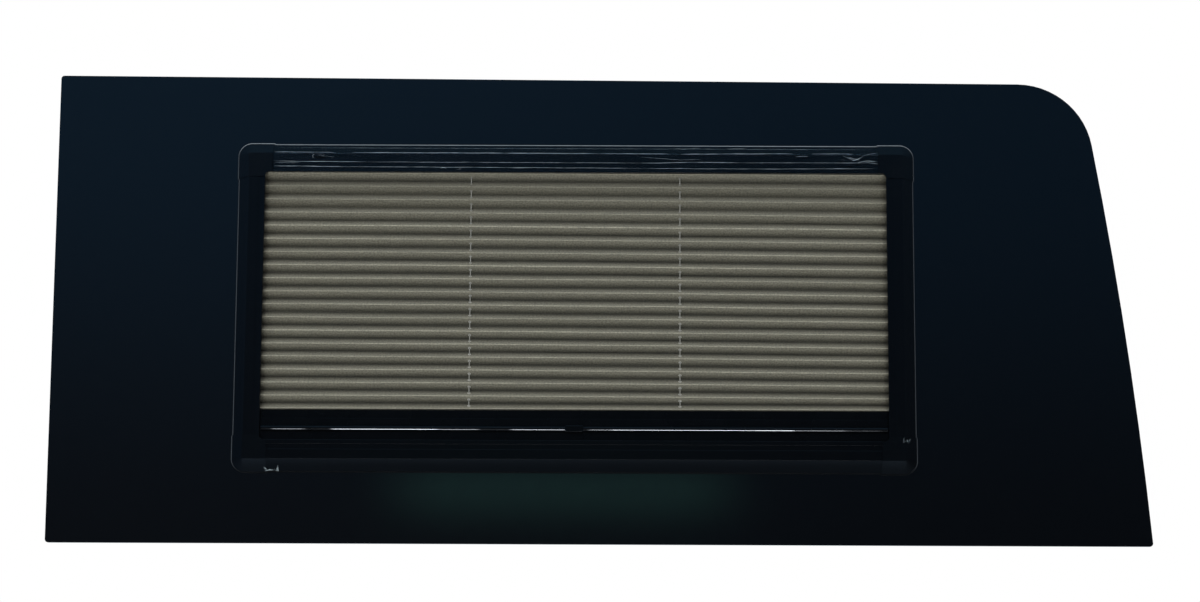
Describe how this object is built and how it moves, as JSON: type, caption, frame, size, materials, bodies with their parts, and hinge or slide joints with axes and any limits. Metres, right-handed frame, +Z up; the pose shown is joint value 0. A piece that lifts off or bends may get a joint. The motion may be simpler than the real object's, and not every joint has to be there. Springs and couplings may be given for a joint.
{
  "type": "van sliding window",
  "caption": "Bonded black glass side window with a sliding vent; inside, a bevelled black cassette holds a pleated blind on two taut cords, drawn by a pull bar.",
  "frame": {"origin": "on the face that is bonded to the van, at the middle of the bottom border", "axes": "+X along the van, to the raked end of the glass; -Y into the van; +Z up"},
  "size_m": [1.1597, 0.034, 0.5],
  "materials": {
    "black_glass": "opaque black, polished",
    "tinted_glass": "dark grey tint, polished",
    "black_aluminium": "black coated, satin",
    "plain_aluminium": "mill",
    "black_plastic": "moulded, satin",
    "black_rubber": "matte",
    "grey_rubber": "matte",
    "blind_fabric": "woven, pleated",
    "cord": "braided"
  },
  "bodies": {
    "window": {"glass_panel": "black_glass", "vent_frame": "black_aluminium", "vent_seal": "black_rubber", "fixed_pane": "tinted_glass", "sliding_pane": "tinted_glass", "fixed_stile": "black_rubber", "sliding_stile": "black_aluminium", "vent_latch": "black_plastic", "cassette_seal": "grey_rubber", "cassette_top": "black_aluminium", "cassette_left": "black_aluminium", "cassette_bottom": "black_aluminium", "cassette_right": "black_aluminium", "corner_top_left": "black_plastic", "corner_bottom_left": "black_plastic", "corner_bottom_right": "black_plastic", "corner_top_right": "black_plastic", "head_rail": "plain_aluminium", "pleated_blind": "blind_fabric", "cord_left": "cord", "cord_right": "cord", "anchor_left": "black_plastic", "anchor_right": "black_plastic"},
    "blind_bar": {"pull_bar": "black_aluminium", "grip_tab": "black_plastic", "guide_shoe_left": "black_plastic", "guide_shoe_right": "black_plastic"}
  },
  "joints": [
    {"name": "blind_draw", "type": "slide", "parent": "window", "child": "blind_bar", "axis": [0, 0, 1], "range_m": [0, 0.205], "deforming": ["pleated_blind"]}
  ]
}
